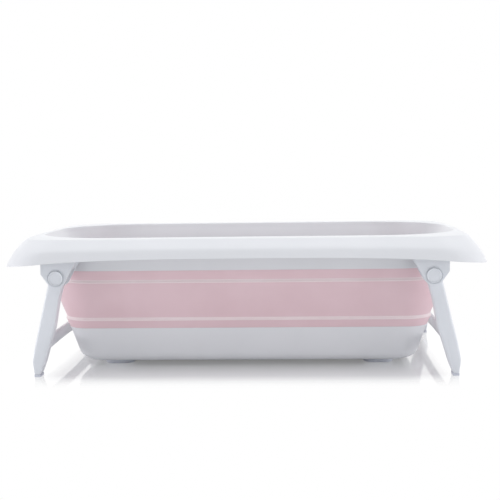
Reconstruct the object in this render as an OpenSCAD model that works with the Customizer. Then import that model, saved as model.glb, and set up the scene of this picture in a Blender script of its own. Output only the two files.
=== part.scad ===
// Folding baby bathtub: a rigid rim and a rigid base joined by a soft pleated wall,
// standing on two hinged leg frames that swing in under the base as the tub folds flat.
// +X runs along the tub, +Z is up, and the origin is on the floor under its centre.

/* [Rim] */
// Length over the brim, at the middle of its ends
tub_length = 820; // [760:5:900]
// Width over the brim
tub_width = 500; // [470:5:540]
// Depth of the rim from its top to the soft wall
rim_depth = 57; // [50:1:70]
// Wall thickness of the rim moulding
rim_wall = 3; // [2.5:0.5:4]
// How far the brim reaches out past the deck, along the long sides
brim_reach = 22; // [18:1:28]
// Drop of the brim at the middle of a long side
brim_drop = 32; // [26:1:38]
// Extra drop of the brim at the two ends
end_dip = 13; // [0:1:18]
// How far each end of the brim bows outward in plan
end_bow = 16; // [0:1:22]
// How far the brim reaches out past the deck at the ends
end_reach = 33; // [28:1:40]
// Width of the deck beside the opening, along the long sides
deck_width = 32; // [26:1:36]

/* [Soft wall] */
// Height of the band under the rim
top_band = 19; // [15:1:25]
// Height of the band that turns inside out
fold_band = 67; // [56:1:72]
// Height of the band above the base
low_band = 16; // [12:1:24]
// Thickness of the soft wall
soft_wall = 2.8; // [2:0.2:3.6]
// Step out at each fold line
fold_ledge = 3; // [2:0.5:4]
// Slope of the bands above and below the folds, in degrees from upright
band_slope = 24; // [20:1:28]
// Slope of the band that turns inside out, in degrees from upright
fold_slope = 21; // [18:1:24]

/* [Base] */
// Height of the base tray
base_depth = 62; // [52:1:72]
// Wall thickness of the base tray
base_wall = 3.5; // [3:0.5:5]
// Slope of the tray wall, in degrees from upright
base_slope = 18; // [14:1:24]
// Radius from the tray wall to its underside
base_round = 26; // [20:1:32]
// Height of the pads under the base
pad_height = 9; // [7:0.5:11]

/* [Drain] */
// Distance of the drain from the middle of the tub
drain_x = 150; // [120:5:155]
// Radius of the hole in the tray
drain_hole_r = 20; // [16:0.5:24]

/* [Legs] */
// Thickness of a leg across the tub
leg_depth = 24; // [20:1:28]
// Radius of the hinge pins
pin_r = 4; // [3:0.5:5]
// Radius of the caps over the hinge pins
cap_r = 14; // [12:0.5:15]
// Height of the soft pad under each leg
foot_pad = 4; // [3:0.5:6]

/* [Hidden] */
$fn = 48;

white = [0.90, 0.91, 0.92];
pink = [0.88, 0.70, 0.73];
grey = [0.55, 0.56, 0.58];
steel = [0.70, 0.71, 0.72];

fit = 0.05;          // radial clearance of a pin in its bracket
running = 0.1;       // radial clearance of a leg on its pin
side_gap = 0.5;      // gap between a leg and each ear of its bracket
touch = 0.3;         // gap between parts that move against each other

// Heights, from the floor up
underside_z = pad_height;
base_top_z = underside_z + base_depth;
low_fold_z = base_top_z + low_band;
high_fold_z = low_fold_z + fold_band;
rim_bottom_z = high_fold_z + top_band;
tub_height = rim_bottom_z + rim_depth;

// Half sizes of the main outlines: lip, shoulder, opening and soft wall
lip_a = tub_length / 2;
lip_b = tub_width / 2;
lip_r = 58;
shoulder_a = lip_a - end_reach;
shoulder_b = lip_b - brim_reach;
shoulder_r = 66;
shoulder_bow = end_bow / 2;
opening_a = shoulder_a - 9;
opening_b = shoulder_b - deck_width;
opening_r = min(145, opening_b - 17);
wall_a = opening_a - 21;
wall_b = opening_b - 11;
wall_r = 96;
side_share = 0.85;    // how much of an inset at the ends the long sides take

// ---- Outlines and skins -------------------------------------------------------------

end_steps = 3;       // points along half of an end, round a corner and along half of a side
corner_steps = 8;
side_steps = 5;
quarter_steps = end_steps + corner_steps + side_steps;
outline_points = 4 * quarter_steps;

// A quarter of a rounded rectangle, from the middle of the end to the middle of the side
function quarter(a, b, r) = concat(
    [for (i = [0 : end_steps - 1]) [a, (b - r) * i / end_steps]],
    [for (i = [0 : corner_steps]) [a - r + r * cos(90 * i / corner_steps),
                                   b - r + r * sin(90 * i / corner_steps)]],
    [for (i = [1 : side_steps]) [(a - r) * (1 - i / side_steps), b]]);

function whole(q) = [for (k = [0 : 3]) for (i = [0 : quarter_steps - 1])
    let (p = (k % 2 == 0) ? q[i] : q[quarter_steps - i])
    [(k == 0 || k == 3) ? p.x : -p.x, (k < 2) ? p.y : -p.y]];

// A ring of 3-D points: half length a at the middle of the ends, half width b, corner radius r,
// ends bowed out by bow, height z at the middle of the sides, lowered by dip towards the ends
function ring(a, b, r, z, bow = 0, dip = 0) =
    [for (p = whole(quarter(a - bow, b, r)))
        let (x = p.x * (1 + bow / (a - bow) * (1 - pow(p.y / b, 2))))
        [x, p.y, z - dip * pow(abs(x) / (lip_a - end_bow), 3.5)]];

function flat(lists) = [for (l = lists) for (e = l) e];

// Triangles between neighbouring rings j and k of a skin
function strip(j, k) = flat([for (i = [0 : outline_points - 1])
    let (n = (i + 1) % outline_points, a = j * outline_points, b = k * outline_points)
    [[a + i, b + i, b + n], [a + i, b + n, a + n]]]);

// A hoop: the rings run once round its section, outside face upwards first
module hoop(rings) {
    m = len(rings);
    polyhedron(flat(rings), flat([for (j = [0 : m - 1]) strip(j, (j + 1) % m)]));
}

// A bowl: the rings run up its outside and down its inside, with flat ends
module bowl(rings) {
    m = len(rings);
    n = outline_points;
    under = m * n;                           // the middle of each flat end
    floor = under + 1;
    polyhedron(concat(flat(rings), [[0, 0, rings[0][0].z], [0, 0, rings[m - 1][0].z]]),
               concat([for (i = [0 : n - 1]) [i, (i + 1) % n, under]],
                      flat([for (j = [0 : m - 2]) strip(j, j + 1)]),
                      [for (i = [0 : n - 1]) [(m - 1) * n + (i + 1) % n, (m - 1) * n + i, floor]]));
}

// ---- Rim ----------------------------------------------------------------------------

deck_z = tub_height - 0.5;
deck_under_z = deck_z - rim_wall;
lip_z = tub_height - brim_drop;
brim_steps = 5;
brim_swell = 0.09;   // how far the ends of the brim are rounded outward, as a share of their reach
brim_bend = 0.5;     // drop at which the sides of the brim turn steep, as a share of the drop
brim_bend_out = 0.84; // how far out that bend lies, as a share of the reach
bend_round = 0.12;   // how softly the sides turn there

// The brim's face at the share d of its drop, 0 at the shoulder to 1 at the lip
function brim_end(d) = d + brim_swell * sin(180 * d);
function two_slopes(d) =
    let (p = d * brim_bend_out / brim_bend, q = 1 - (1 - d) * (1 - brim_bend_out) / (1 - brim_bend))
    (p + q - sqrt(pow(p - q, 2) + pow(bend_round, 2))) / 2;
function brim_side(d) = (two_slopes(d) - two_slopes(0)) / (two_slopes(1) - two_slopes(0));
function brim_ring(d, inset, top_z) =
    ring(shoulder_a + (lip_a - shoulder_a) * brim_end(d) - inset,
         shoulder_b + (lip_b - shoulder_b) * brim_side(d) - inset,
         shoulder_r + (lip_r - shoulder_r) * d - inset,
         top_z + (lip_z - top_z) * d,
         shoulder_bow + (end_bow - shoulder_bow) * brim_end(d), end_dip * d);

// The basin side of the rim, t from 0 at the soft wall to 1 at the opening
basin_steps = 4;
function basin_ring(t, inset, top_z) =
    let (o = pow(t, 2.2))
    ring(wall_a + (opening_a - wall_a) * o - inset,
         wall_b + (opening_b - wall_b) * o - inset,
         wall_r + (opening_r - wall_r) * o - inset,
         rim_bottom_z + (top_z - rim_bottom_z) * t);

module rim_shell() hoop(concat(
    [for (i = [0 : basin_steps]) basin_ring(i / basin_steps, 0, deck_under_z)],
    [for (i = [0 : brim_steps]) brim_ring(i / brim_steps, rim_wall, deck_under_z)],
    [for (i = [brim_steps : -1 : 0]) brim_ring(i / brim_steps, 0, deck_z - 1)],
    [ring(shoulder_a - 3, shoulder_b - 3, shoulder_r - 3, deck_z, shoulder_bow),
     ring(opening_a, opening_b, opening_r, tub_height),
     ring(opening_a - rim_wall, opening_b - rim_wall, opening_r - rim_wall, deck_z)],
    [for (i = [basin_steps - 1 : -1 : 0]) basin_ring(i / basin_steps, rim_wall, deck_under_z)]));

module rim() color(white) union() {
    rim_shell();
    each_corner() bracket_boss();
}

// ---- Soft wall ----------------------------------------------------------------------

// A ring of the soft wall or the base, moved in from the top of the wall by inset
// and then by the thickness t
function wall_ring(inset, z, t = 0) =
    ring(wall_a - inset - t, wall_b - side_share * inset - t, max(wall_r - 1.6 * inset, 32) - 0.6 * t, z);

// How far in the face of the wall lies at the upper fold, the lower fold and the foot
high_inset = top_band * tan(band_slope) - fold_ledge;
low_inset = high_inset + fold_band * tan(fold_slope) - fold_ledge;
wall_foot_inset = low_inset + low_band * tan(band_slope);
bulge_inset = (low_inset + high_inset + fold_ledge) / 2 - 2;

module folding_wall() color(pink) hoop(concat(
    [wall_ring(wall_foot_inset, base_top_z),
     wall_ring(low_inset + 0.6, low_fold_z - 2),
     wall_ring(low_inset + 1.5, low_fold_z),
     wall_ring(low_inset + fold_ledge, low_fold_z + 2),
     wall_ring(bulge_inset, (low_fold_z + high_fold_z) / 2),
     wall_ring(high_inset + 0.4, high_fold_z - 2.5),
     wall_ring(high_inset + 1.2, high_fold_z - 0.5),
     wall_ring(high_inset + fold_ledge, high_fold_z + 1.5),
     wall_ring(0, rim_bottom_z)],
    [wall_ring(0, rim_bottom_z, soft_wall),
     wall_ring(high_inset + fold_ledge, high_fold_z + 1.5, soft_wall),
     wall_ring(high_inset + 0.6, high_fold_z - 3, soft_wall),
     wall_ring(bulge_inset, (low_fold_z + high_fold_z) / 2, soft_wall),
     wall_ring(low_inset + fold_ledge, low_fold_z + 2, soft_wall),
     wall_ring(low_inset + 1.2, low_fold_z - 3, soft_wall),
     wall_ring(wall_foot_inset, base_top_z, soft_wall)]));

// ---- Base ---------------------------------------------------------------------------

base_inset = wall_foot_inset + 0.4;
floor_z = underside_z + base_wall;
round_steps = 5;
// Inset of the centre of the tray's bottom radius, and points on it
base_centre = base_inset + (base_depth - base_round) * tan(base_slope)
              + base_round / cos(base_slope);
function base_arc(i, wall) =
    let (turn = base_slope + (90 - base_slope) * i / round_steps, r = base_round - wall)
    wall_ring(base_centre - r * cos(turn), underside_z + base_round - r * sin(turn));

module base_shell() bowl(concat(
    [for (i = [round_steps : -1 : 0]) base_arc(i, 0)],
    [wall_ring(base_inset, base_top_z),
     wall_ring(base_inset, base_top_z, base_wall)],
    [for (i = [0 : round_steps]) base_arc(i, base_wall)]));

module base_tray() color(white) difference() {
    base_shell();
    translate([drain_x, 0, -1]) cylinder(r = drain_hole_r, h = floor_z + 10);
}

pad_length = 52;
pad_width = 36;
pad_edge = 1.5;
pad_x = wall_a - base_centre - pad_length / 2 - 17;
pad_y = wall_b - side_share * base_centre - pad_width / 2 - 15;

module base_pad(sx, sy) color(grey)
    translate([sx * pad_x, sy * pad_y, 0]) hull() {
        linear_extrude(pad_edge) stadium(pad_length - 2 * pad_edge, pad_width - 2 * pad_edge);
        translate([0, 0, pad_edge]) linear_extrude(pad_height - pad_edge)
            stadium(pad_length, pad_width);
    }

module stadium(l, w) hull() for (s = [-1, 1]) translate([s * (l - w) / 2, 0]) circle(d = w, $fn = 32);

// ---- Drain --------------------------------------------------------------------------

gasket_t = 1;
flange_t = 2;
flange_r = drain_hole_r + 7;
tube_r = drain_hole_r - fit;
drain_bore_r = drain_hole_r - 4;
flange_z = floor_z + gasket_t + flange_t;
barb = 1;
barb_height = 1.5;
plug_r = drain_bore_r - touch;
plug_cap_r = drain_hole_r + 3;
plug_cap_t = 3;
tab_r = 9;
tab_hole_r = 5;
tab_t = 4;
tab_neck = 3;

module drain_gasket() color(pink)
    translate([drain_x, 0, floor_z]) difference() {
        cylinder(r = flange_r - 0.5, h = gasket_t);
        translate([0, 0, -1]) cylinder(r = drain_hole_r, h = gasket_t + 2);
    }

module drain_fitting() color(white)
    translate([drain_x, 0, 0]) rotate_extrude() polygon([
        [drain_bore_r, underside_z - barb_height],
        [tube_r, underside_z - barb_height],
        [tube_r + barb, underside_z - fit],
        [tube_r, underside_z - fit],
        [tube_r, floor_z + gasket_t],
        [flange_r, floor_z + gasket_t],
        [flange_r, flange_z - 1],
        [flange_r - 1, flange_z],
        [drain_bore_r + 1, flange_z],
        [drain_bore_r, flange_z - 1]]);

module drain_plug() color(pink) translate([drain_x, 0, 0]) {
    cap_z = flange_z + touch;
    rotate_extrude() polygon([
        [0, underside_z], [plug_r - 1.5, underside_z], [plug_r, underside_z + 2],
        [plug_r, cap_z], [plug_cap_r, cap_z], [plug_cap_r, cap_z + plug_cap_t - 1],
        [plug_cap_r - 1, cap_z + plug_cap_t], [0, cap_z + plug_cap_t]]);
    translate([0, tab_t / 2, cap_z + plug_cap_t + tab_neck]) rotate([90, 0, 0])
        difference() {
            union() {
                translate([0, tab_r - tab_neck]) cylinder(r = tab_r, h = tab_t);
                translate([-tab_r, -tab_neck - 1, 0]) cube([2 * tab_r, tab_r + 1, tab_t]);
            }
            translate([0, tab_r - tab_neck, -1]) cylinder(r = tab_hole_r, h = tab_t + 2);
        }
}

// ---- Hinges -------------------------------------------------------------------------

ear_t = 5;
ear_in = wall_b + 6;                      // inner face of the inner ear, across the tub
leg_in = ear_in + ear_t + side_gap;
leg_out = leg_in + leg_depth;
outer_ear_in = leg_out + side_gap;
ear_out = outer_ear_in + ear_t;
hinge_x = wall_a - 37.5;
hinge_z = rim_bottom_z - 7;
ear_r = cap_r + 2.5;
plate_bottom = 40;                          // heights and places measured from the hinge pin
plate_t = 6;
bracket_out = 25;
bracket_in = 32;
web_t = 4.5;
heel_out = 6;
heel_in = 2;
heel_top = 17;
stop_bottom = 14;
stop_t = 5;
screw_r = 2;
screw_head_r = 4;
screw_head_t = 2.6;
screw_length = 12;
screw_y = (leg_in + leg_out) / 2 - 4;
screw_places = [-bracket_out + 9, bracket_in - 11];
boss_bottom_z = hinge_z + plate_bottom + plate_t;

// Each hinge is drawn for the +X, +Y corner and mirrored to the other three
module at_corner(sx, sy) scale_sign(sx, sy) children();
module scale_sign(sx, sy) mirror([sx < 0 ? 1 : 0, 0, 0]) mirror([0, sy < 0 ? 1 : 0, 0]) children();
module each_corner() for (sx = [-1, 1], sy = [-1, 1]) at_corner(sx, sy) children();

// The boss under the deck that a bracket is screwed to
module bracket_boss() difference() {
    intersection() {
        translate([hinge_x - bracket_in, ear_in + 1, boss_bottom_z])
            cube([bracket_in + bracket_out, leg_out - ear_in - 3, tub_height - boss_bottom_z]);
        under_brim();
    }
    for (u = screw_places)
        translate([hinge_x - u, screw_y, boss_bottom_z - 1]) cylinder(r = screw_r, h = screw_length - plate_t + 1.5);
}

// All that lies under the middle of the brim's and the deck's thickness
module under_brim() {
    rings = concat([for (i = [0 : brim_steps]) brim_ring(i / brim_steps, rim_wall / 2, deck_z - 1 - rim_wall / 2)],
                   [ring(lip_a - 8, lip_b - 8, lip_r - 8, hinge_z)]);
    m = len(rings);
    n = outline_points;
    top = m * n;
    polyhedron(concat(flat(rings), [[0, 0, rings[0][0].z], [0, 0, hinge_z]]),
               concat([for (i = [0 : n - 1]) [(i + 1) % n, i, top]],
                      flat([for (j = [0 : m - 2]) strip(j + 1, j)]),
                      [for (i = [0 : n - 1]) [(m - 1) * n + i, (m - 1) * n + (i + 1) % n, top + 1]]));
}

module ear_outline() hull() {
    circle(r = ear_r);
    polygon([[-bracket_in, 24], [-bracket_in, plate_bottom + 1],
             [bracket_out, plate_bottom + 1], [bracket_out, 7]]);
}

// The wall that closes the bracket on its inner side, over the folded leg
module inner_web_outline() polygon([
    [-bracket_in + 1, 24], [-bracket_in + 1, plate_bottom + 1],
    [-bracket_in + 1 + web_t, plate_bottom + 1], [-bracket_in + 1 + web_t, 25],
    [-bracket_in + 6.5 + web_t, stop_bottom], [-bracket_in + 6.5, stop_bottom]]);

module bracket(sx, sy) color(white) at_corner(sx, sy) translate([hinge_x, 0, hinge_z])
    difference() {
        union() {
            for (y = [ear_in, outer_ear_in])
                translate([0, y + ear_t, 0]) rotate([90, 0, 0]) linear_extrude(ear_t) ear_outline();
            translate([-bracket_in, ear_in, plate_bottom])
                cube([bracket_in + bracket_out, ear_out - ear_in, plate_t]);
            translate([bracket_out - web_t, ear_in + 1, 7])
                cube([web_t, ear_out - ear_in - 2, plate_bottom - 6]);
            translate([-heel_in - touch - stop_t, ear_in + 1, stop_bottom])
                cube([stop_t, ear_out - ear_in - 2, plate_bottom - stop_bottom + 1]);
            translate([0, ear_out - 1, 0]) rotate([90, 0, 0])
                linear_extrude(ear_out - ear_in - 2) inner_web_outline();
        }
        translate([0, ear_out + 1, 0]) rotate([90, 0, 0])
            cylinder(r = pin_r + fit, h = ear_out - ear_in + 2);
        for (u = screw_places)
            translate([-u, screw_y, plate_bottom - 1]) cylinder(r = screw_r + 0.2, h = plate_t + 2);
    }

module bracket_screws() color(steel) each_corner() for (u = screw_places)
    translate([hinge_x - u, screw_y, hinge_z + plate_bottom]) {
        translate([0, 0, -screw_head_t]) cylinder(r = screw_head_r, h = screw_head_t);
        cylinder(r = screw_r - 0.1, h = screw_length);
    }

cap_t = 3.5;
cap_socket = 1.5;

module hinge_pin(sx, sy) color(steel) at_corner(sx, sy)
    translate([hinge_x, ear_out + cap_socket, hinge_z]) rotate([90, 0, 0])
        cylinder(r = pin_r, h = ear_out + cap_socket - ear_in);

module pivot_cap(sx, sy) color(white) at_corner(sx, sy)
    translate([hinge_x, ear_out, hinge_z]) rotate([-90, 0, 0]) difference() {
        rotate_extrude() polygon([[0, 0], [cap_r, 0], [cap_r, cap_t - 1.2], [cap_r - 1.2, cap_t],
                                  [cap_r - 2.5, cap_t], [cap_r - 3.2, cap_t - 0.5], [0, cap_t - 0.5]]);
        translate([0, 0, -1]) cylinder(r = pin_r + fit, h = cap_socket + 1);
    }

// ---- Legs ---------------------------------------------------------------------------

// Circles down the leg as [outward, up, radius] from the hinge pin
boss_circle = [0, 0, 12];
knee = [8.6, -34, 10.8];
shin = [18.5, 84 - hinge_z, 12];
ankle = [28, 50 - hinge_z, 10.8];
toe = [35, 23 - hinge_z, 9.6];
sole_x = 37;
sole_width = 10;
bar_x = 32.5;                                // inner face of the crossbar, outward from the pin
bar_t = 6.5;
bar_top = 108;                               // distance of its edges below the pin
bar_bottom = 128;
bar_arch = 5;                                // how much deeper it is beside the legs
bar_fillet = 34;
bar_chamfer = 2;

module disc(c) translate([c[0], c[1]]) circle(r = c[2], $fn = 32);

module leg_outline() {
    hull() { disc(boss_circle); disc(knee); }
    hull() { disc(knee); disc(shin); }
    hull() { disc(shin); disc(ankle); }
    hull() {
        disc(ankle);
        disc(toe);
        translate([sole_x - sole_width / 2, foot_pad - hinge_z]) square([sole_width, 1]);
    }
    translate([-heel_in, 0]) square([heel_in + heel_out, heel_top]);
}

// The lower edge of the crossbar at y across the tub, as a distance below the pin
function bar_edge(y) = bar_bottom + bar_arch * pow(y / leg_in, 2)
    + 16 * pow(max(0, (abs(y) - leg_in + bar_fillet) / bar_fillet), 2.5);
bar_half = leg_in + 1;
bar_points = 24;

module crossbar() translate([bar_x, 0, 0]) difference() {
    rotate([0, 90, 0]) linear_extrude(bar_t) polygon(concat(
        [[bar_top, -bar_half], [bar_top, bar_half]],
        [for (i = [0 : bar_points]) let (y = bar_half * (1 - 2 * i / bar_points)) [bar_edge(y), y]]));
    translate([0, 0, -bar_top]) rotate([0, 45, 0])
        cube([bar_chamfer * sqrt(2), 2 * leg_in, bar_chamfer * sqrt(2)], center = true);
}

module leg_frame(sx) color(white) at_corner(sx, 1) translate([hinge_x, 0, hinge_z]) difference() {
    union() {
        difference() {
            translate([0, leg_out, 0]) rotate([90, 0, 0]) linear_extrude(2 * leg_out) leg_outline();
            translate([-50, -leg_in, -hinge_z]) cube([150, 2 * leg_in, hinge_z + 50]);
        }
        crossbar();
    }
    translate([0, leg_out + 1, 0]) rotate([90, 0, 0]) cylinder(r = pin_r + running, h = 2 * leg_out + 2);
}

module leg_foot_pad(sx, sy) color(grey) at_corner(sx, sy)
    translate([hinge_x + sole_x - sole_width / 2, leg_in, 0]) cube([sole_width, leg_depth, foot_pad]);

// ---- Nodes --------------------------------------------------------------------------

rim();
folding_wall();
base_tray();
base_pad(-1, -1);  // base_pad_front_left
base_pad(1, -1);  // base_pad_front_right
base_pad(-1, 1);  // base_pad_rear_left
base_pad(1, 1);  // base_pad_rear_right
drain_gasket();
drain_fitting();
drain_plug();
bracket(-1, -1);  // bracket_front_left
bracket(1, -1);  // bracket_front_right
bracket(-1, 1);  // bracket_rear_left
bracket(1, 1);  // bracket_rear_right
bracket_screws();
hinge_pin(-1, -1);  // hinge_pin_front_left
hinge_pin(1, -1);  // hinge_pin_front_right
hinge_pin(-1, 1);  // hinge_pin_rear_left
hinge_pin(1, 1);  // hinge_pin_rear_right
pivot_cap(-1, -1);  // pivot_cap_front_left
pivot_cap(1, -1);  // pivot_cap_front_right
pivot_cap(-1, 1);  // pivot_cap_rear_left
pivot_cap(1, 1);  // pivot_cap_rear_right
leg_frame(-1);  // left_leg_frame
leg_frame(1);  // right_leg_frame
leg_foot_pad(-1, -1);  // foot_pad_front_left
leg_foot_pad(1, -1);  // foot_pad_front_right
leg_foot_pad(-1, 1);  // foot_pad_rear_left
leg_foot_pad(1, 1);  // foot_pad_rear_right
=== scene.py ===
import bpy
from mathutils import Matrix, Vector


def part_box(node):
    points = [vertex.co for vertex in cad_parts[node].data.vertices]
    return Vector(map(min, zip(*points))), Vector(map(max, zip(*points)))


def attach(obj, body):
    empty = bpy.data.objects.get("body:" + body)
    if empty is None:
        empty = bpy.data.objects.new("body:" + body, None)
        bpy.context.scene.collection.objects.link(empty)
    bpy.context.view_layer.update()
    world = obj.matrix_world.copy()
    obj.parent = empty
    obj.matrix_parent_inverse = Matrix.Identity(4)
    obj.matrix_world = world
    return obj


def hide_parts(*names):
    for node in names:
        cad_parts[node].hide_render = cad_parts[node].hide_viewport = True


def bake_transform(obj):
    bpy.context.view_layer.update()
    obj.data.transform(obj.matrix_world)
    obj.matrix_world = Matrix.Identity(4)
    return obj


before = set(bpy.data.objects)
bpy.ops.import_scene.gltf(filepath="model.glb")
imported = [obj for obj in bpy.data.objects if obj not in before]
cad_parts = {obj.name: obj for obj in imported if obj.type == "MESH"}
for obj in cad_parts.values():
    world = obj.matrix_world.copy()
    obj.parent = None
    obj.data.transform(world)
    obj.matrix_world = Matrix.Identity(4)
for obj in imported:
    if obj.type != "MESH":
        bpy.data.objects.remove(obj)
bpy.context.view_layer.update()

import math

import bmesh
import bpy
import numpy as np
from mathutils import Matrix, Vector
from mathutils.bvhtree import BVHTree

scene = bpy.context.scene
MM = 0.001

# ---- Camera: the photograph's viewpoint --------------------------------------------------

CAM_DISTANCE = 1.845
CAM_HEIGHT = 0.350
CAM_AZIMUTH = math.radians(2.8)
CAM_PITCH = math.radians(4.94)
CAM_ROLL = math.radians(-0.8)
CAM_LENS, CAM_SENSOR, CAM_SHIFT = 71.86, 36, 0.0008
CAM_CLIP = (0.05, 60)


def make_camera():
    data = bpy.data.cameras.new("camera")
    data.sensor_width = CAM_SENSOR
    data.lens = CAM_LENS
    data.shift_x = CAM_SHIFT
    data.clip_start, data.clip_end = CAM_CLIP
    cam = bpy.data.objects.new("camera", data)
    scene.collection.objects.link(cam)
    look = Vector((-math.sin(CAM_AZIMUTH) * math.cos(CAM_PITCH),
                   math.cos(CAM_AZIMUTH) * math.cos(CAM_PITCH), -math.sin(CAM_PITCH)))
    turn = look.to_track_quat("-Z", "Y").to_matrix() @ Matrix.Rotation(CAM_ROLL, 3, "Z")
    place = Vector((CAM_DISTANCE * math.sin(CAM_AZIMUTH),
                    -CAM_DISTANCE * math.cos(CAM_AZIMUTH), CAM_HEIGHT))
    cam.matrix_world = Matrix.Translation(place) @ turn.to_4x4()
    scene.camera = cam


make_camera()

# ---- Sizes, in metres, read from the CAD frame where it states them ----------------------


def box(node):
    lo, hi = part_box(node)
    return np.array(lo, float), np.array(hi, float)


rim_hi = box("rim")[1]
wall_hi = box("folding_wall")[1]
leg_hi = box("right_leg_frame")[1]
tray_lo, tray_hi = box("base_tray")
fit_lo, fit_hi = box("drain_fitting")
cap_lo, cap_hi = box("pivot_cap_rear_right")
sole_lo, sole_hi = box("foot_pad_rear_right")
bracket_lo, bracket_hi = box("bracket_rear_right")

# Rim. A is a half length, B a half width and R a corner radius.
LIP_A, LIP_B, LIP_R = rim_hi[0], rim_hi[1], 58 * MM
TOP_Z = rim_hi[2]
RIM_BOTTOM = wall_hi[2]
RIM_WALL = 3 * MM
END_REACH, SIDE_REACH, DECK_WIDTH = 33 * MM, 22 * MM, 32 * MM
SHOULDER_A, SHOULDER_B, SHOULDER_R = LIP_A - END_REACH, LIP_B - SIDE_REACH, 66 * MM
END_BOW, END_DIP = 16 * MM, 13 * MM
SHOULDER_BOW = END_BOW / 2
END_DECK = 9 * MM
OPENING_A, OPENING_B, OPENING_R = SHOULDER_A - END_DECK, SHOULDER_B - DECK_WIDTH, 145 * MM
DIP_POWER = 3.5         # how late along the tub the lip starts to dip
BASIN_POWER = 2.2       # how late up the basin its wall starts to flare
BRIM_DROP = 32 * MM
BEAD = 0.5 * MM         # the opening's edge stands this far over the deck
DECK_Z = TOP_Z - BEAD
DECK_UNDER = DECK_Z - RIM_WALL
DECK_EDGE, DECK_STEP = 3 * MM, 1 * MM   # the deck ends this far in from the shoulder, and this far over it
LIP_Z = TOP_Z - BRIM_DROP
# Shares of the brim's drop and reach: its swell at the ends, and where and how softly its side bends
BRIM_SWELL, BRIM_BEND, BRIM_BEND_OUT, BEND_ROUND = 0.09, 0.5, 0.84, 0.12

# Soft wall: a low, a middle and a top band, with a fold between each two
WALL_A, WALL_B, WALL_R = wall_hi[0], wall_hi[1], 96 * MM
SIDE_SHARE = 0.85       # the long sides lean in by this share of what the ends do
CORNER_SHARE = 1.6      # the corner's radius shrinks by this many times the ends' lean
INNER_CORNER = 0.6      # inside the face it shrinks by this share of the depth
LEAST_CORNER = 32 * MM
SOFT = 2.8 * MM
LEDGE = 3 * MM
LOW_BAND, FOLD_BAND, TOP_BAND = 16 * MM, 67 * MM, 19 * MM
BAND_SLOPE, FOLD_SLOPE = math.tan(math.radians(24)), math.tan(math.radians(21))
BULGE = 4.5 * MM
BASE_TOP = tray_hi[2]
LOW_FOLD = BASE_TOP + LOW_BAND
HIGH_FOLD = LOW_FOLD + FOLD_BAND
HIGH_INSET = TOP_BAND * BAND_SLOPE - LEDGE
LOW_INSET = HIGH_INSET + FOLD_BAND * FOLD_SLOPE - LEDGE
FOOT_INSET = LOW_INSET + LOW_BAND * BAND_SLOPE
BULGE_INSET = (LOW_INSET + HIGH_INSET + LEDGE) / 2 - BULGE

# Base tray
UNDERSIDE = tray_lo[2]
BASE_WALL = 3.5 * MM
BASE_SLOPE = math.radians(18)
BASE_ROUND = 26 * MM
BASE_INSET = FOOT_INSET + 0.4 * MM
BASE_CENTRE = (BASE_INSET + (BASE_TOP - UNDERSIDE - BASE_ROUND) * math.tan(BASE_SLOPE)
               + BASE_ROUND / math.cos(BASE_SLOPE))
DRAIN_X = (fit_lo[0] + fit_hi[0]) / 2
DRAIN_R = 20 * MM

# Legs. PIN is the hinge pin's x and z.
PIN = np.array([(cap_lo[0] + cap_hi[0]) / 2, (cap_lo[2] + cap_hi[2]) / 2])
PIN_R, PIN_ROOM = 4 * MM, 0.1 * MM
BORE_HALF = 300 * MM    # the bore's cutter passes both legs
LEG_OUT, LEG_IN = leg_hi[1], sole_lo[1]
FOOT_PAD = sole_hi[2]

# ---- Mesh helpers ------------------------------------------------------------------------

END_STEPS, CORNER_STEPS, SIDE_STEPS = 9, 15, 20
RING = 4 * (END_STEPS + CORNER_STEPS + SIDE_STEPS)


def section(a, b, r, z, bow=0.0, dip=0.0):
    """One ring of the tub, as numbers that can be blended: half length, half width, corner radius,
    how far the ends bow out, height, and how far the ring dips at the ends."""
    return np.array([a, b, r, bow, z, dip])


def ring(values):
    """The points of a section: a rounded rectangle, found for one quarter and mirrored."""
    a, b, r, bow, z, dip = values
    flat = a - bow
    quarter = [(flat, (b - r) * i / END_STEPS) for i in range(END_STEPS)]
    quarter += [(flat - r + r * math.cos(t), b - r + r * math.sin(t))
                for t in (math.pi / 2 * i / CORNER_STEPS for i in range(CORNER_STEPS + 1))]
    quarter += [((flat - r) * (1 - i / SIDE_STEPS), b) for i in range(1, SIDE_STEPS + 1)]
    n = len(quarter) - 1
    xy = []
    for k in range(4):
        part = [quarter[i] if k % 2 == 0 else quarter[n - i] for i in range(n)]
        xy += [(x if k in (0, 3) else -x, y if k < 2 else -y) for x, y in part]
    xy = np.array(xy)
    x = xy[:, 0] * (1 + bow / flat * (1 - (xy[:, 1] / b) ** 2))
    drop = dip * (np.abs(x) / (LIP_A - END_BOW)) ** DIP_POWER
    return np.stack([x, xy[:, 1], z - drop], 1)


def span(p, q):
    """Distance between two section points, across the wall."""
    return math.hypot(p[0] - q[0], p[4] - q[4])


HOLD = 0.35             # past a round, one more point at this share of its cut keeps the flat flat


def soften(points, cuts, steps=5, closed=True):
    """Rounds the corners of a line of sections. cuts gives how far before and after each corner the
    round starts, or 0 to leave it as it is."""
    n = len(points)
    out = []
    for i, p in enumerate(points):
        c = cuts[i]
        if c == 0 or (not closed and i in (0, n - 1)):
            out.append(p)
            continue
        before, after = points[i - 1], points[(i + 1) % n]
        c0, c1 = min(c, 0.45 * span(p, before)), min(c, 0.45 * span(p, after))
        s = p + (before - p) * (c0 / span(p, before))
        e = p + (after - p) * (c1 / span(p, after))
        if c0 * (1 + HOLD) < 0.5 * span(p, before):
            out.append(p + (before - p) * (c0 * (1 + HOLD) / span(p, before)))
        for k in range(steps + 1):
            t = k / steps
            out.append((1 - t) ** 2 * s + 2 * t * (1 - t) * p + t ** 2 * e)
        if c1 * (1 + HOLD) < 0.5 * span(p, after):
            out.append(p + (after - p) * (c1 * (1 + HOLD) / span(p, after)))
    return out


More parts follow.
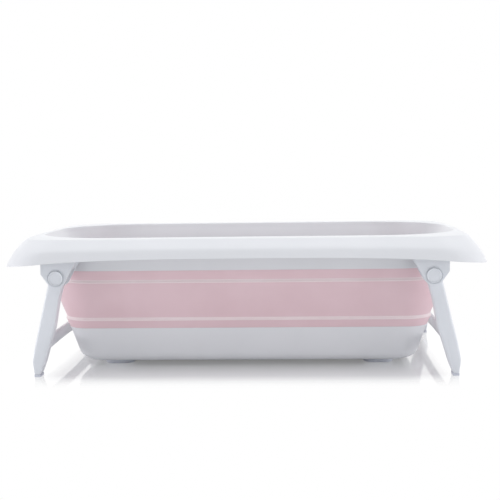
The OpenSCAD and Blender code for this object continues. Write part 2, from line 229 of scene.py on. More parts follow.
def fill(points, longest, closed=True):
    """Adds sections so that no step between two is longer than longest."""
    out = []
    n = len(points)
    for i in range(n if closed else n - 1):
        p, q = points[i], points[(i + 1) % n]
        k = max(1, math.ceil(span(p, q) / longest))
        out += [p + (q - p) * j / k for j in range(k)]
    if not closed:
        out.append(points[-1])
    return out


WELD = 1e-7


def new_mesh(name, verts, faces, smooth=True):
    """An object with these points and faces, its normals turned outward."""
    me = bpy.data.meshes.new(name)
    me.from_pydata([tuple(float(c) for c in v) for v in verts], [], faces)
    bm = bmesh.new()
    bm.from_mesh(me)
    bmesh.ops.remove_doubles(bm, verts=bm.verts, dist=WELD)
    bmesh.ops.dissolve_degenerate(bm, dist=WELD, edges=bm.edges)
    bmesh.ops.recalc_face_normals(bm, faces=bm.faces)
    bm.to_mesh(me)
    bm.free()
    me.polygons.foreach_set("use_smooth", [smooth] * len(me.polygons))
    ob = bpy.data.objects.new(name, me)
    scene.collection.objects.link(ob)
    return ob


def band(a, b, n):
    """The faces between two loops of n points that start at the points a and b."""
    return [(a + i, a + (i + 1) % n, b + (i + 1) % n, b + i) for i in range(n)]


def skin(name, sections, closed=True, caps=False):
    """A skin over the rings of sections. closed joins the last to the first; caps fills both ends."""
    rings = [ring(s) for s in sections]
    verts = np.concatenate(rings)
    m = len(rings)
    faces = []
    for j in range(m if closed else m - 1):
        faces += band(j * RING, ((j + 1) % m) * RING, RING)
    if caps:
        for j in (0, m - 1):
            middle = rings[j].mean(0)
            last = len(verts)
            verts = np.vstack([verts, [[middle[0], middle[1], rings[j][0][2]]]])
            faces += [(j * RING + i, j * RING + (i + 1) % RING, last) for i in range(RING)]
    return new_mesh(name, verts, faces)


def applied(ob):
    """Applies an object's modifiers to its mesh."""
    bpy.context.view_layer.update()
    dg = bpy.context.evaluated_depsgraph_get()
    me = bpy.data.meshes.new_from_object(ob.evaluated_get(dg))
    ob.modifiers.clear()
    old = ob.data
    ob.data = me
    bpy.data.meshes.remove(old)
    me.name = ob.name
    return ob


def combine(ob, other, operation):
    """Boolean of ob with other, which is removed."""
    mod = ob.modifiers.new("combine", "BOOLEAN")
    mod.operation = operation
    mod.solver = "EXACT"
    mod.object = other
    applied(ob)
    bpy.data.objects.remove(other)
    return ob


def angles(count):
    return [2 * math.pi * i / count for i in range(count)]


def cylinder(name, r, lo, hi, place, count):
    """A plain cylinder from lo to hi. place turns (u, v, w), with w along its axis, into a point."""
    verts = [place(r * math.cos(t), r * math.sin(t), w) for w in (lo, hi) for t in angles(count)]
    faces = [tuple(range(count))[::-1], tuple(range(count, 2 * count))]
    return new_mesh(name, verts, faces + band(0, count, count), smooth=False)


BEVEL_STEPS, BEVEL_ANGLE = 3, math.radians(35)
CRISP, ROUNDED = 38, 50     # edges sharper than this many degrees stay sharp when a piece is shaded


def bevel(ob, width):
    """Rounds the edges of a CAD node with a modifier, so its mesh stays as it is."""
    mod = ob.modifiers.new("edges", "BEVEL")
    mod.width = width
    mod.segments = BEVEL_STEPS
    mod.limit_method = "ANGLE"
    mod.angle_limit = BEVEL_ANGLE
    mod.harden_normals = False


def shade(ob, angle):
    """Smooth shading that keeps the edges sharper than angle, in degrees."""
    me = ob.data
    me.polygons.foreach_set("use_smooth", [True] * len(me.polygons))
    me.set_sharp_from_angle(angle=math.radians(angle))


# ---- Materials ---------------------------------------------------------------------------


class Nodes:
    """A small helper round a node tree."""

    def __init__(self, name):
        self.mat = bpy.data.materials.new(name)
        self.mat.use_nodes = True
        self.tree = self.mat.node_tree
        self.tree.nodes.clear()

    def add(self, kind, **values):
        node = self.tree.nodes.new(kind)
        for key, value in values.items():
            if key in node.inputs:
                node.inputs[key].default_value = value
            else:
                setattr(node, key, value)
        return node

    def link(self, a, b):
        self.tree.links.new(a, b)


def srgb(r, g, b):
    """A colour given as a screen shows it, from 0 to 255."""
    def lin(c):
        c /= 255
        return c / 12.92 if c <= 0.04045 else ((c + 0.055) / 1.055) ** 2.4
    return (lin(r), lin(g), lin(b), 1.0)


GLOSS_SPREAD = 0.02
CLOUD_LOW, CLOUD_HIGH = 0.36, 0.64      # the colour turns from low to high between these noise values
SMEAR_LOW, SMEAR_HIGH = 0.3, 0.7        # and the gloss between these
SMEAR_SCALE = 3.1                       # how much finer the gloss varies than the colour
GRAIN_DEPTH = 0.4 * MM


def moulded(name, low, high, rough, grain, grain_size, blotch=9.0):
    """A moulded plastic or rubber: a faint cloud of colour, a varying gloss and a fine surface grain."""
    m = Nodes(name)
    out = m.add("ShaderNodeOutputMaterial")
    bsdf = m.add("ShaderNodeBsdfPrincipled")
    place = m.add("ShaderNodeTexCoord")
    cloud = m.add("ShaderNodeTexNoise", Scale=blotch, Detail=3.0, Roughness=0.55)
    m.link(place.outputs["Object"], cloud.inputs["Vector"])
    colour = m.add("ShaderNodeValToRGB")
    colour.color_ramp.elements[0].position = CLOUD_LOW
    colour.color_ramp.elements[1].position = CLOUD_HIGH
    colour.color_ramp.elements[0].color = low
    colour.color_ramp.elements[1].color = high
    m.link(cloud.outputs["Fac"], colour.inputs["Fac"])
    m.link(colour.outputs["Color"], bsdf.inputs["Base Color"])
    smear = m.add("ShaderNodeTexNoise", Scale=blotch * SMEAR_SCALE, Detail=4.0, Roughness=0.6)
    m.link(place.outputs["Object"], smear.inputs["Vector"])
    gloss = m.add("ShaderNodeMapRange")
    gloss.inputs["From Min"].default_value = SMEAR_LOW
    gloss.inputs["From Max"].default_value = SMEAR_HIGH
    gloss.inputs["To Min"].default_value = rough - GLOSS_SPREAD
    gloss.inputs["To Max"].default_value = rough + GLOSS_SPREAD
    m.link(smear.outputs["Fac"], gloss.inputs["Value"])
    m.link(gloss.outputs["Result"], bsdf.inputs["Roughness"])
    fine = m.add("ShaderNodeTexNoise", Scale=grain_size, Detail=2.0, Roughness=0.5)
    m.link(place.outputs["Object"], fine.inputs["Vector"])
    bump = m.add("ShaderNodeBump", Strength=grain, Distance=GRAIN_DEPTH)
    m.link(fine.outputs["Fac"], bump.inputs["Height"])
    m.link(bump.outputs["Normal"], bsdf.inputs["Normal"])
    m.link(bsdf.outputs["BSDF"], out.inputs["Surface"])
    return m.mat


def brushed(name):
    """Steel with fine streaks along X."""
    m = Nodes(name)
    out = m.add("ShaderNodeOutputMaterial")
    bsdf = m.add("ShaderNodeBsdfPrincipled", Metallic=1.0)
    place = m.add("ShaderNodeTexCoord")
    streak = m.add("ShaderNodeMapping")
    streak.inputs["Scale"].default_value = (1, 14, 14)
    m.link(place.outputs["Object"], streak.inputs["Vector"])
    noise = m.add("ShaderNodeTexNoise", Scale=260.0, Detail=3.0)
    m.link(streak.outputs["Vector"], noise.inputs["Vector"])
    colour = m.add("ShaderNodeValToRGB")
    colour.color_ramp.elements[0].color = srgb(168, 170, 173)
    colour.color_ramp.elements[1].color = srgb(205, 206, 208)
    m.link(noise.outputs["Fac"], colour.inputs["Fac"])
    m.link(colour.outputs["Color"], bsdf.inputs["Base Color"])
    rough = m.add("ShaderNodeMapRange")
    rough.inputs["To Min"].default_value = 0.25
    rough.inputs["To Max"].default_value = 0.42
    m.link(noise.outputs["Fac"], rough.inputs["Value"])
    m.link(rough.outputs["Result"], bsdf.inputs["Roughness"])
    m.link(bsdf.outputs["BSDF"], out.inputs["Surface"])
    return m.mat


TUB_WHITE = moulded("tub_white", srgb(229, 230, 232), srgb(231, 232, 234), 0.33, 0.08, 900)
LEG_WHITE = moulded("leg_white", srgb(226, 229, 233), srgb(231, 234, 238), 0.38, 0.16, 1100, blotch=14)
PINK = moulded("soft_pink", srgb(229, 199, 204), srgb(233, 204, 209), 0.46, 0.14, 800, blotch=11)
# a paler pink, a painted highlight for the light that the folds' ridges catch
PINK_PAINTED_HIGHLIGHT = moulded("soft_pink_painted_highlight", srgb(240, 222, 223), srgb(243, 227, 228), 0.4, 0.14, 800, blotch=11)
DRAIN_PINK = moulded("drain_pink", srgb(226, 190, 197), srgb(232, 198, 205), 0.5, 0.14, 1200, blotch=20)
GREY = moulded("grip_grey", srgb(208, 211, 220), srgb(214, 217, 226), 0.62, 0.3, 1500, blotch=30)
STEEL = brushed("steel")


def paint(ob, mat):
    ob.data.materials.clear()
    ob.data.materials.append(mat)


# ---- Rim ---------------------------------------------------------------------------------


def two_slopes(d):
    """How far out the brim's side is at the share d of its drop: steep, then flat, with a soft bend."""
    p = d * BRIM_BEND_OUT / BRIM_BEND
    q = 1 - (1 - d) * (1 - BRIM_BEND_OUT) / (1 - BRIM_BEND)
    return (p + q - math.hypot(p - q, BEND_ROUND)) / 2


def brim(d, inset, top_z):
    """A ring of the brim's face at the share d of its drop, 0 at the shoulder to 1 at the lip."""
    end = d + BRIM_SWELL * math.sin(math.pi * d)
    side = (two_slopes(d) - two_slopes(0)) / (two_slopes(1) - two_slopes(0))
    return section(SHOULDER_A + (LIP_A - SHOULDER_A) * end - inset,
                   SHOULDER_B + (LIP_B - SHOULDER_B) * side - inset,
                   SHOULDER_R + (LIP_R - SHOULDER_R) * d - inset, top_z + (LIP_Z - top_z) * d,
                   SHOULDER_BOW + (END_BOW - SHOULDER_BOW) * end, END_DIP * d)


def basin(t, inset, top_z):
    """A ring of the rim's inner wall at the share t of its height."""
    o = t ** BASIN_POWER
    return section(WALL_A + (OPENING_A - WALL_A) * o - inset, WALL_B + (OPENING_B - WALL_B) * o - inset,
                   WALL_R + (OPENING_R - WALL_R) * o - inset, RIM_BOTTOM + (top_z - RIM_BOTTOM) * t)


# How far each corner of the rim's line is rounded, in mm
SKIRT_CUT, BASIN_CUT, UNDER_CUT, LIP_IN_CUT = 0.6, 3.0, 2.0, 1.2
LIP_CUT, SHOULDER_CUT, DECK_CUT, OPENING_CUT = 1.4, 1.6, 1.4, 1.5
RIM_STEPS = 12
RIM_STEP = 6 * MM       # the longest step between two rings


def make_rim():
    """One line of sections: up the basin's outside, down under the brim, up over it, across the deck
    and down inside the basin."""
    points, cuts = [], []

    def put(point, cut):
        points.append(point)
        cuts.append(cut * MM)

    def run(line, first, last, order):
        """Puts the rings of a line, with its first and last corner rounded."""
        for i in order:
            put(line(i / RIM_STEPS), first if i == 0 else (last if i == RIM_STEPS else 0))

    upward, downward = range(RIM_STEPS + 1), range(RIM_STEPS, -1, -1)
    run(lambda t: basin(t, 0, DECK_UNDER), SKIRT_CUT, BASIN_CUT, upward)
    run(lambda d: brim(d, RIM_WALL, DECK_UNDER), UNDER_CUT, LIP_IN_CUT, upward)
    run(lambda d: brim(d, 0, DECK_Z - DECK_STEP), SHOULDER_CUT, LIP_CUT, downward)
    put(section(SHOULDER_A - DECK_EDGE, SHOULDER_B - DECK_EDGE, SHOULDER_R - DECK_EDGE, DECK_Z,
                SHOULDER_BOW), DECK_CUT)
    put(section(OPENING_A, OPENING_B, OPENING_R, TOP_Z), OPENING_CUT)
    put(section(OPENING_A - RIM_WALL, OPENING_B - RIM_WALL, OPENING_R - RIM_WALL, DECK_Z), OPENING_CUT)
    run(lambda t: basin(t, RIM_WALL, DECK_UNDER), SKIRT_CUT, 0, downward[1:])
    return skin("rim_shell", fill(soften(points, cuts), RIM_STEP))


rim = make_rim()
rim_tree = BVHTree.FromPolygons([v.co.copy() for v in rim.data.vertices],
                                [tuple(p.vertices) for p in rim.data.polygons])

BOSS_CELLS_X, BOSS_CELLS_Y = 12, 10
BOSS_SET_IN, BOSS_SET_OUT = 1 * MM, 2 * MM
BOSS_SINK = 1.6 * MM    # its top stays this far inside the deck
RAY_Z = TOP_Z + 50 * MM # the deck is looked for from this height down


def make_boss(sx, sy):
    """The boss under the deck that a bracket is screwed to, from the bracket up into the rim."""
    x0, x1 = bracket_lo[0], bracket_hi[0]
    y0, y1 = bracket_lo[1] + BOSS_SET_IN, LEG_OUT - BOSS_SET_OUT
    nx, ny = BOSS_CELLS_X, BOSS_CELLS_Y
    verts, faces = [], []
    for top in (0, 1):
        for i in range(nx + 1):
            for j in range(ny + 1):
                x, y = x0 + (x1 - x0) * i / nx, y0 + (y1 - y0) * j / ny
                z = bracket_hi[2]
                if top:
                    hit = rim_tree.ray_cast(Vector((x, y, RAY_Z)), Vector((0, 0, -1)))[0]
                    z = (hit.z if hit else TOP_Z) - BOSS_SINK
                verts.append((sx * x, sy * y, z))
    w = ny + 1
    full = (nx + 1) * w
    for i in range(nx):
        for j in range(ny):
            a = i * w + j
            faces.append((a, a + 1, a + w + 1, a + w))
            faces.append((full + a, full + a + w, full + a + w + 1, full + a + 1))
    edge = [i * w for i in range(nx + 1)] + [nx * w + j for j in range(1, ny + 1)]
    edge += [i * w + ny for i in range(nx - 1, -1, -1)] + [j for j in range(ny - 1, 0, -1)]
    for k, a in enumerate(edge):
        b = edge[(k + 1) % len(edge)]
        faces.append((a, b, full + b, full + a))
    return new_mesh("boss", verts, faces, smooth=False)


for sx in (-1, 1):
    for sy in (-1, 1):
        combine(rim, make_boss(sx, sy), "UNION")
shade(rim, CRISP)
paint(rim, TUB_WHITE)
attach(rim, "rim_body")
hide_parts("rim")

# ---- Soft wall ---------------------------------------------------------------------------


def wall(inset, z, t=0.0):
    """A ring of the soft wall or the base at height z, inset from the rim's skirt, t inside its face."""
    return section(WALL_A - inset - t, WALL_B - SIDE_SHARE * inset - t,
                   max(WALL_R - CORNER_SHARE * inset, LEAST_CORNER) - INNER_CORNER * t, z)


# The bead along a fold: how far in and up each point lies, and how far its corner is rounded, in mm
FOLD_BEAD = [(0.3, -3.2, 1.0), (-0.5, -1.8, 0.7), (-0.8, -0.9, 0.8), (1.1, 2.2, 1.2)]
# Inside each fold: how far in and up its two points lie
HIGH_INSIDE = [(LEDGE, 1.5 * MM), (0.6 * MM, -3 * MM)]
LOW_INSIDE = [(LEDGE, 2 * MM), (1.2 * MM, -3 * MM)]
PAINTED_HIGHLIGHT_BAND = (-2.4 * MM, 3.2 * MM)   # the strip of painted highlight along a fold, below and above it
END_CUT, BULGE_CUT, FOLD_CUT = 0.4, 14, 1.5     # how far the other corners are rounded, in mm
WALL_STEP = 4 * MM


def make_wall():
    """Up the outside of the three bands, with a bead at each fold, and down the inside."""
    mid = (LOW_FOLD + HIGH_FOLD) / 2
    outer = [(wall(FOOT_INSET, BASE_TOP), END_CUT)]
    for inset, z in ((LOW_INSET, LOW_FOLD), (HIGH_INSET, HIGH_FOLD)):
        outer += [(wall(inset + i * MM, z + up * MM), cut) for i, up, cut in FOLD_BEAD]
        if z == LOW_FOLD:
            outer.append((wall(BULGE_INSET, mid), BULGE_CUT))
    outer.append((wall(0, RIM_BOTTOM), END_CUT))
    inner = [(wall(0, RIM_BOTTOM, SOFT), END_CUT)]
    inner += [(wall(HIGH_INSET + i, HIGH_FOLD + up, SOFT), FOLD_CUT) for i, up in HIGH_INSIDE]
    inner.append((wall(BULGE_INSET, mid, SOFT), BULGE_CUT))
    inner += [(wall(LOW_INSET + i, LOW_FOLD + up, SOFT), FOLD_CUT) for i, up in LOW_INSIDE]
    inner.append((wall(FOOT_INSET, BASE_TOP, SOFT), END_CUT))
    both = outer + inner
    points = soften([p for p, _ in both], [c * MM for _, c in both], steps=4)
    return skin("folding_wall_skin", fill(points, WALL_STEP))


def paint_fold_highlights(ob):
    """Gives the outer faces along both folds a paler pink: a painted highlight where the folds' ridges
    catch the light.
    """
    ob.data.materials.append(PINK_PAINTED_HIGHLIGHT)
    low, high = PAINTED_HIGHLIGHT_BAND
    for face in ob.data.polygons:
        outward = face.normal.to_2d().dot(face.center.to_2d()) > 0
        if outward and any(low < face.center.z - z < high for z in (LOW_FOLD, HIGH_FOLD)):
            face.material_index = 1


soft_wall = make_wall()
shade(soft_wall, ROUNDED)
paint(soft_wall, PINK)
# paints a highlight along both folds
paint_fold_highlights(soft_wall)
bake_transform(soft_wall)
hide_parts("folding_wall")

# ---- Base tray ---------------------------------------------------------------------------


def base_arc(t, w):
    """A ring of the round between the tray's side and its floor, w inside its face."""
    turn = BASE_SLOPE + (math.pi / 2 - BASE_SLOPE) * t
    r = BASE_ROUND - w
    return wall(BASE_CENTRE - r * math.cos(turn), UNDERSIDE + BASE_ROUND - r * math.sin(turn))


TRAY_STEPS = 14
TRAY_STEP, TRAY_EDGE = 6 * MM, 0.9 * MM
CUT_BELOW, CUT_ABOVE = 10 * MM, 30 * MM     # the drain hole's cutter passes the floor by this much


def make_tray():
    """From the round under the floor up the side and down the inside. Caps close the floor's two
    faces, and the drain hole is cut through it."""
    outside = [base_arc(i / TRAY_STEPS, 0) for i in range(TRAY_STEPS, -1, -1)]
    inside = [base_arc(i / TRAY_STEPS, BASE_WALL) for i in range(TRAY_STEPS + 1)]
    edge = [wall(BASE_INSET, BASE_TOP), wall(BASE_INSET, BASE_TOP, BASE_WALL)]
    cuts = [0.0] * len(outside) + [TRAY_EDGE] * len(edge) + [0.0] * len(inside)
    points = fill(soften(outside + edge + inside, cuts, closed=False), TRAY_STEP, closed=False)
    tray = skin("base_tray_shell", points, closed=False, caps=True)
    hole = cylinder("hole", DRAIN_R, UNDERSIDE - CUT_BELOW, UNDERSIDE + CUT_ABOVE,
                    lambda u, v, w: (DRAIN_X + u, v, w), 96)
    return combine(tray, hole, "DIFFERENCE")


tray = make_tray()
shade(tray, CRISP)
paint(tray, TUB_WHITE)
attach(tray, "base_body")
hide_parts("base_tray")

# ---- Legs --------------------------------------------------------------------------------

# Side view of a leg in mm from the pin: circles [outward, up, radius] that its outline runs round
LEG_CIRCLES = np.array([(0, 0, 12), (9.2, -34, 11.2), (19.3, -82, 12.8), (28.8, -116, 11.6),
                        (35.5, -143, 10.2)])
EDGE_SHARE = np.array([1, 1, 1, 1, 0.8])       # how much of a rounded edge each circle gives up
# The sole's middle, width and chamfer, and how much of a rounded edge it gives up
SOLE_X, SOLE_W, SOLE_CUT, SOLE_EDGE = 37, 10, 1.2, 0.12
LEG_EDGE, LEG_EDGE_DEPTH = 4.4, 3.0            # rounded edges, in the side view and across it
LEG_STEP, TOP_STEPS = 3, 26
# The block on top of a leg that stops it against the bracket, set in from the leg's two faces
HEEL, HEEL_SET, HEEL_EDGE = [(-2, 1), (6, 1), (6, 17), (-2, 17)], 0.4, 0.6

# Crossbar in mm: place and thickness, its edges below the pin, and how its lower edge arches
BAR_X, BAR_T, BAR_TOP, BAR_BOTTOM, BAR_ARCH, BAR_FILLET = 31.5, 6, 108, 128, 5, 42
# How far and how suddenly it drops at the legs, how far it runs into them, and its rounded edges
BAR_RISE, BAR_POWER, BAR_ROOT, BAR_EDGE = 19, 2.5, 7.3, 2.0
BAR_POINTS, BAR_STEP = 61, 6.0


def tapered(p, d, a, b):
    """How far from p along d the outline of the band round the circles a and b lies, or 0."""
    axis = b[:2] - a[:2]
    length = np.linalg.norm(axis)
    axis = axis / length
    side = np.array([-axis[1], axis[0]])
    far = 0.0
    lean = (a[2] - b[2]) / length                  # sine of the angle between axis and outline
    for s in (-1, 1):
        n = axis * lean + side * s * math.sqrt(1 - lean ** 2)
        if d @ n > 1e-6:
            t = (a[2] - (p - a[:2]) @ n) / (d @ n)
            at = (p + d * t - a[:2]) @ axis
            if t > 0 and a[2] * lean <= at <= length + b[2] * lean:
                far = max(far, t)
    for c in (a, b):
        q = p - c[:2]
        h = (q @ d) ** 2 - q @ q + c[2] ** 2
        if h > 0:
            far = max(far, -(q @ d) + math.sqrt(h))
    return far


def eased(line):
    """A line with its bends eased, three times over, and its two ends kept."""
    for _ in range(3):
        middle = [(line[i - 1] + 2 * line[i] + line[i + 1]) / 4 for i in range(1, len(line) - 1)]
        line = [line[0]] + middle + [line[-1]]
    return line


def leg_outline(edge):
    """The side view of a leg from the pin, in mm, with its long edges moved in by edge. It is found
    by walking out from the leg's centre line, so every edge gives the same number of points."""
    circles = LEG_CIRCLES.copy()
    circles[:, 2] -= edge * EDGE_SHARE
    ends = circles[:, :2]
    along = np.diff(ends, axis=0)
    along /= np.linalg.norm(along, axis=1)[:, None]
    tangents = np.vstack([along[:1], along[1:] + along[:-1], along[-1:]])
    tangents /= np.linalg.norm(tangents, axis=1)[:, None]
    left, right = [], []
    for k in range(len(ends) - 1):
        n = max(2, int(np.linalg.norm(ends[k + 1] - ends[k]) / LEG_STEP))
        for i in range(n + (k == len(ends) - 2)):
            p = ends[k] + (ends[k + 1] - ends[k]) * i / n
            d = tangents[k] + (tangents[k + 1] - tangents[k]) * i / n
            d /= np.linalg.norm(d)
            for line, way in ((left, np.array([-d[1], d[0]])), (right, np.array([d[1], -d[0]]))):
                line.append(p + way * max(tapered(p, way, circles[j], circles[j + 1])
                                          for j in range(max(0, k - 1), min(len(ends) - 1, k + 2))))
    sole = (FOOT_PAD - PIN[1]) / MM
    nip = SOLE_EDGE * edge
    half = SOLE_W / 2 - nip
    foot = [np.array([SOLE_X + half, sole + SOLE_CUT]), np.array([SOLE_X + half - SOLE_CUT, sole + nip]),
            np.array([SOLE_X - half + SOLE_CUT, sole + nip]), np.array([SOLE_X - half, sole + SOLE_CUT])]
    if left[-1][0] < right[-1][0]:
        left, right = right, left
    # left is now the line farther out; both run on to the sole
    left += [left[-1] + (foot[0] - left[-1]) * t for t in (0.25, 0.5, 0.75)]
    right += [right[-1] + (foot[-1] - right[-1]) * t for t in (0.25, 0.5, 0.75)]
    start = math.atan2(*(left[0] - ends[0])[::-1])
    stop = math.atan2(*(right[0] - ends[0])[::-1])
    if stop < start:
        stop += 2 * math.pi
    top = [ends[0] + circles[0, 2] * np.array([math.cos(t), math.sin(t)])
           for t in np.linspace(start, stop, TOP_STEPS)[1:-1]]
    return np.array(eased(left)[::-1] + top + eased(right) + foot[::-1])


def inset_loop(loop, d):
    """The loop moved in by d along its corner normals."""
    before, after = np.roll(loop, 1, 0), np.roll(loop, -1, 0)
    area = np.sum(before[:, 0] * loop[:, 1] - loop[:, 0] * before[:, 1]) / 2
    sign = 1 if area > 0 else -1

    def normals(edges):
        edges = edges / np.linalg.norm(edges, axis=1)[:, None]
        return np.stack([-edges[:, 1], edges[:, 0]], 1) * sign

    first = normals(loop - before)
    corner = first + normals(after - loop)
    corner /= np.maximum(np.linalg.norm(corner, axis=1), 1e-9)[:, None]
    cosine = np.maximum((corner * first).sum(1), 0.5)
    return loop + corner * (d / cosine)[:, None]


def slab(name, outline, lo, hi, edge, depth, place, steps=5):
    """An outline pulled into a slab from lo to hi, its edges rounded over edge in the outline's plane
    and depth across it. outline(e) gives the outline moved in by e. place turns (u, v, w) into a point."""
    turns = [math.pi / 2 * k / steps for k in range(steps + 1)]
    first = [(lo + depth * (1 - math.cos(t)), edge * (1 - math.sin(t))) for t in turns]
    layers = first + [(lo + hi - w, e) for w, e in first[::-1]]
    verts = []
    for w, e in layers:
        loop = outline(e)
        verts += [place(u, v, w) for u, v in loop]
    n = len(loop)
    last = len(layers) - 1
    faces = [face for j in range(last) for face in band(j * n, (j + 1) * n, n)]
    faces += [tuple(range(n))[::-1], tuple(last * n + i for i in range(n))]
    return new_mesh(name, verts, faces)


def resample(loop, step):
    """The loop with points added so that none of its sides is longer than step."""
    out = []
    for a, b in zip(loop, np.roll(loop, -1, 0)):
        k = max(1, math.ceil(np.linalg.norm(b - a) / step))
        out += [a + (b - a) * i / k for i in range(k)]
    return np.array(out)


def bar_edge(y, leg_in):
    """How far below the pin the crossbar's lower edge lies at y."""
    y = min(abs(y), leg_in)
    fillet = max(0, (y - leg_in + BAR_FILLET) / BAR_FILLET)
    return BAR_BOTTOM + BAR_ARCH * (y / leg_in) ** 2 + BAR_RISE * fillet ** BAR_POWER


def loop_slab(name, loop, lo, hi, edge, place, steps):
    """A slab of a plain loop, its edges rounded over edge."""
    return slab(name, lambda e: inset_loop(loop, e), lo, hi, edge, edge, place, steps)


def make_leg_frame(name, sx):
    """Two legs, the heel on top of each, and the crossbar between them, with the pin's bore cut."""
    px, pz = PIN / MM
    lo, hi = LEG_IN / MM, LEG_OUT / MM

    def upright(u, v, w):
        return (sx * (px + u) * MM, w * MM, (pz + v) * MM)

    made = None
    for sy in (-1, 1):
        ends = (lo, hi) if sy > 0 else (-hi, -lo)
        leg = slab("leg", leg_outline, *ends, LEG_EDGE, LEG_EDGE_DEPTH, upright)
        made = leg if made is None else combine(made, leg, "UNION")
        heel = loop_slab("heel", np.array(HEEL, float), ends[0] + HEEL_SET, ends[1] - HEEL_SET,
                         HEEL_EDGE, upright, 2)
        combine(made, heel, "UNION")
    half = lo + BAR_ROOT
    low = [(y, -bar_edge(y, lo)) for y in np.linspace(-half, half, BAR_POINTS)]
    loop = resample(np.array(low + [(half, -BAR_TOP), (-half, -BAR_TOP)]), BAR_STEP)
    bar = loop_slab("bar", loop, BAR_X, BAR_X + BAR_T, BAR_EDGE, lambda u, v, w: upright(w, v, u), 4)
    combine(made, bar, "UNION")
    bore = cylinder("bore", PIN_R + PIN_ROOM, -BORE_HALF, BORE_HALF,
                    lambda u, v, w: (sx * PIN[0] + u, w, PIN[1] + v), 64)
    combine(made, bore, "DIFFERENCE")
    made.name = name
    return made


for side, sx in (("left", -1), ("right", 1)):
    leg_frame = make_leg_frame(side + "_legs_shell", sx)
    shade(leg_frame, CRISP)
    paint(leg_frame, LEG_WHITE)
    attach(leg_frame, side + "_legs")
    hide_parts(side + "_leg_frame")

# ---- Caps over the hinge pins ------------------------------------------------------------

CAP_R, CAP_T = (cap_hi[0] - cap_lo[0]) / 2 / MM, (cap_hi[1] - cap_lo[1]) / MM
SOCKET_R, SOCKET_T = PIN_R / MM + 0.05, 1.5
# Radius and height over the bracket's face, in mm: the pin's socket, a thin outer lip, a deep groove,
# a raised rim and a shallow dish
CAP_PROFILE = [(0, SOCKET_T), (SOCKET_R, SOCKET_T), (SOCKET_R, 0), (CAP_R, 0), (CAP_R, 1.8),
               (CAP_R - 0.15, 2.1), (CAP_R - 0.35, 2.1), (CAP_R - 0.45, 1.9), (CAP_R - 0.5, 0.1),
               (CAP_R - 1.7, 0.1), (CAP_R - 1.75, CAP_T - 0.7), (CAP_R - 1.9, CAP_T - 0.25),
               (CAP_R - 2.3, CAP_T), (CAP_R - 2.7, CAP_T - 0.05), (CAP_R - 3.0, CAP_T - 0.4),
               (CAP_R - 3.3, CAP_T - 1.2), (CAP_R - 4.0, CAP_T - 1.5), (CAP_R / 2, CAP_T - 1.4),
               (0, CAP_T - 1.3)]


def lathe(name, profile, place, count):
    """A profile of radius and height turned round an axis. place turns (u, v, height) into a point."""
    verts = [place(r * math.cos(t), r * math.sin(t), h) for r, h in profile for t in angles(count)]
    faces = [face for j in range(len(profile) - 1) for face in band(j * count, (j + 1) * count, count)]
    return new_mesh(name, verts, faces)


for sx, side in ((-1, "left"), (1, "right")):
    for sy, end in ((-1, "front"), (1, "rear")):
        cap = lathe(f"cap_{end}_{side}", CAP_PROFILE,
                    lambda u, v, h: (sx * PIN[0] + u * MM, sy * (cap_lo[1] + h * MM), PIN[1] + v * MM), 96)
        shade(cap, ROUNDED)
        paint(cap, LEG_WHITE)
        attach(cap, "rim_body")
        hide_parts(f"pivot_cap_{end}_{side}")

# ---- CAD nodes that keep their shape -----------------------------------------------------

# Start of a node's name, its material and the width of its rounded edges. The longest start wins.
KEPT = {"bracket": (LEG_WHITE, 0.9 * MM), "bracket_screws": (STEEL, 0),
        "hinge_pin": (STEEL, 0), "base_pad": (GREY, 0.7 * MM), "foot_pad": (GREY, 0.6 * MM),
        "drain_gasket": (DRAIN_PINK, 0.2 * MM), "drain_fitting": (TUB_WHITE, 0.3 * MM),
        "drain_plug": (DRAIN_PINK, 0.7 * MM)}
for node_name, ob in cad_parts.items():
    keys = [k for k in KEPT if node_name.startswith(k)]
    if not keys:
        continue
    mat, width = KEPT[max(keys, key=len)]
    paint(ob, mat)
    if width:
        bevel(ob, width)

# ---- Floor, light and background ---------------------------------------------------------

FLOOR_HALF = 12
FLOOR_COLOUR, FLOOR_ROUGH, FLOOR_IOR = (0.88, 0.885, 0.89, 1), 0.05, 1.45
# Half sizes of the patch that keeps its shadow or its gloss, how far out each fades, and how much the
# shadow is lifted within its patch
SHADOW_KEEP, SHADOW_FADE, FLOOR_LIFT = (0.305, 0.20), (0.05, 0.10), 0.28
GLOSS_KEEP, GLOSS_FADE = (0.35, 0.21), (0.08, 0.10)


def fade_node(m, keep, far, least):
    """A value that is least inside a rectangle about the origin and rises to 1 over the distances far
    outside it, in x and y."""
    place = m.add("ShaderNodeTexCoord")
    size_xy = m.add("ShaderNodeVectorMath", operation="ABSOLUTE")
    m.link(place.outputs["Object"], size_xy.inputs[0])
    past = m.add("ShaderNodeVectorMath", operation="SUBTRACT")
    past.inputs[1].default_value = (keep[0], keep[1], 0)
    m.link(size_xy.outputs["Vector"], past.inputs[0])
    outside = m.add("ShaderNodeVectorMath", operation="MAXIMUM")
    outside.inputs[1].default_value = (0, 0, 0)
    m.link(past.outputs["Vector"], outside.inputs[0])
    share = m.add("ShaderNodeVectorMath", operation="DIVIDE")
    share.inputs[1].default_value = (far[0], far[1], 1)
    m.link(outside.outputs["Vector"], share.inputs[0])
    away = m.add("ShaderNodeVectorMath", operation="LENGTH")
    m.link(share.outputs["Vector"], away.inputs[0])
    fade = m.add("ShaderNodeMapRange", interpolation_type="SMOOTHSTEP")
    fade.inputs["To Min"].default_value = least
    m.link(away.outputs["Value"], fade.inputs["Value"])
    return fade.outputs["Result"]


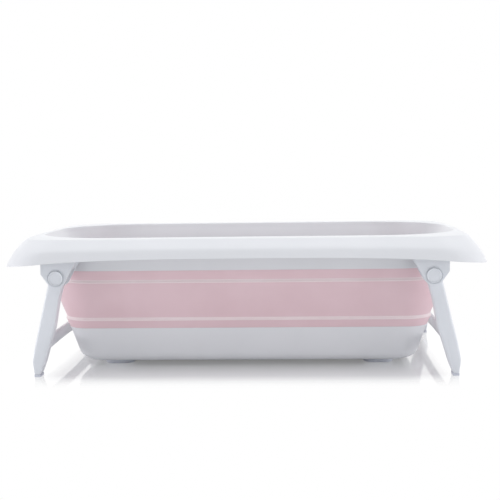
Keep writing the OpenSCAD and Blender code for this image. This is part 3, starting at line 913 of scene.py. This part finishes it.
def make_floor():
    """A glossy pale floor. For the camera its shadow fades to white away from the base, and its
    reflection a little farther out."""
    corners = [(x * FLOOR_HALF, y * FLOOR_HALF, 0) for x, y in ((-1, -1), (1, -1), (1, 1), (-1, 1))]
    ob = new_mesh("floor", corners, [(0, 1, 2, 3)], False)
    m = Nodes("floor")
    out = m.add("ShaderNodeOutputMaterial")
    matt = m.add("ShaderNodeBsdfDiffuse")
    matt.inputs["Color"].default_value = FLOOR_COLOUR
    shine = m.add("ShaderNodeBsdfGlossy", Roughness=FLOOR_ROUGH)
    shine.inputs["Color"].default_value = (1, 1, 1, 1)
    white = m.add("ShaderNodeEmission", Strength=1.0)
    white.inputs["Color"].default_value = (1, 1, 1, 1)
    path = m.add("ShaderNodeLightPath")
    fresnel = m.add("ShaderNodeFresnel", IOR=FLOOR_IOR)

    def seen(value):
        node = m.add("ShaderNodeMath", operation="MULTIPLY")
        m.link(path.outputs["Is Camera Ray"], node.inputs[0])
        m.link(value, node.inputs[1])
        return node.outputs[0]

    def mixed(factor, a, b):
        node = m.add("ShaderNodeMixShader")
        m.link(factor, node.inputs[0])
        m.link(a, node.inputs[1])
        m.link(b, node.inputs[2])
        return node.outputs[0]

    shadow_fade = fade_node(m, SHADOW_KEEP, SHADOW_FADE, FLOOR_LIFT)
    gloss_fade = fade_node(m, GLOSS_KEEP, GLOSS_FADE, 0.0)
    shadow = mixed(seen(shadow_fade), matt.outputs["BSDF"], white.outputs["Emission"])
    glossy = mixed(fresnel.outputs["Fac"], shadow, shine.outputs["BSDF"])
    whole = mixed(seen(gloss_fade), glossy, white.outputs["Emission"])
    m.link(whole, out.inputs["Surface"])
    ob.data.materials.append(m.mat)


SKY_COLOUR, SKY_STRENGTH = (0.93, 0.95, 1.0, 1), 0.66


def make_world():
    """White where the camera or a reflection sees it, and a dimmer, cooler sky as light."""
    world = bpy.data.worlds.new("world")
    scene.world = world
    world.use_nodes = True
    nodes, links = world.node_tree.nodes, world.node_tree.links
    nodes.clear()
    out = nodes.new("ShaderNodeOutputWorld")
    mix = nodes.new("ShaderNodeMixShader")
    dim = nodes.new("ShaderNodeBackground")
    dim.inputs["Color"].default_value = SKY_COLOUR
    dim.inputs["Strength"].default_value = SKY_STRENGTH
    white = nodes.new("ShaderNodeBackground")
    white.inputs["Color"].default_value = (1, 1, 1, 1)
    white.inputs["Strength"].default_value = 1.0
    path = nodes.new("ShaderNodeLightPath")
    seen = nodes.new("ShaderNodeMath")
    seen.operation = "MAXIMUM"
    links.new(path.outputs["Is Camera Ray"], seen.inputs[0])
    links.new(path.outputs["Is Glossy Ray"], seen.inputs[1])
    links.new(seen.outputs[0], mix.inputs[0])
    links.new(dim.outputs[0], mix.inputs[1])
    links.new(white.outputs[0], mix.inputs[2])
    links.new(mix.outputs[0], out.inputs["Surface"])


def lamp(name, at, aim, size, power, colour=(1, 1, 1)):
    """A rectangular lamp at a place, facing a point."""
    data = bpy.data.lights.new(name, "AREA")
    data.shape = "RECTANGLE"
    data.size, data.size_y = size
    data.energy = power
    data.color = colour
    ob = bpy.data.objects.new(name, data)
    scene.collection.objects.link(ob)
    ob.matrix_world = (Matrix.Translation(at)
                       @ (Vector(aim) - Vector(at)).to_track_quat("-Z", "Y").to_matrix().to_4x4())


make_floor()
make_world()
lamp("overhead", (0.0, -0.1, 2.0), (0, 0, 0.1), (3.0, 1.6), 17)
lamp("behind", (0.0, 2.6, 0.8), (0, 0, 0.2), (4.0, 1.4), 4)
lamp("left", (-2.0, -0.5, 0.2), (0, 0, 0.1), (1.4, 0.3), 8.5, (1.0, 0.97, 1.0))
lamp("right", (2.0, -0.5, 0.2), (0, 0, 0.1), (1.4, 0.3), 8, (1.0, 0.98, 1.0))
lamp("front", (0.0, -3.0, 0.3), (0, 0, 0.05), (4.0, 0.5), 1.0, (0.96, 0.99, 1.0))

scene.view_settings.view_transform = "Standard"
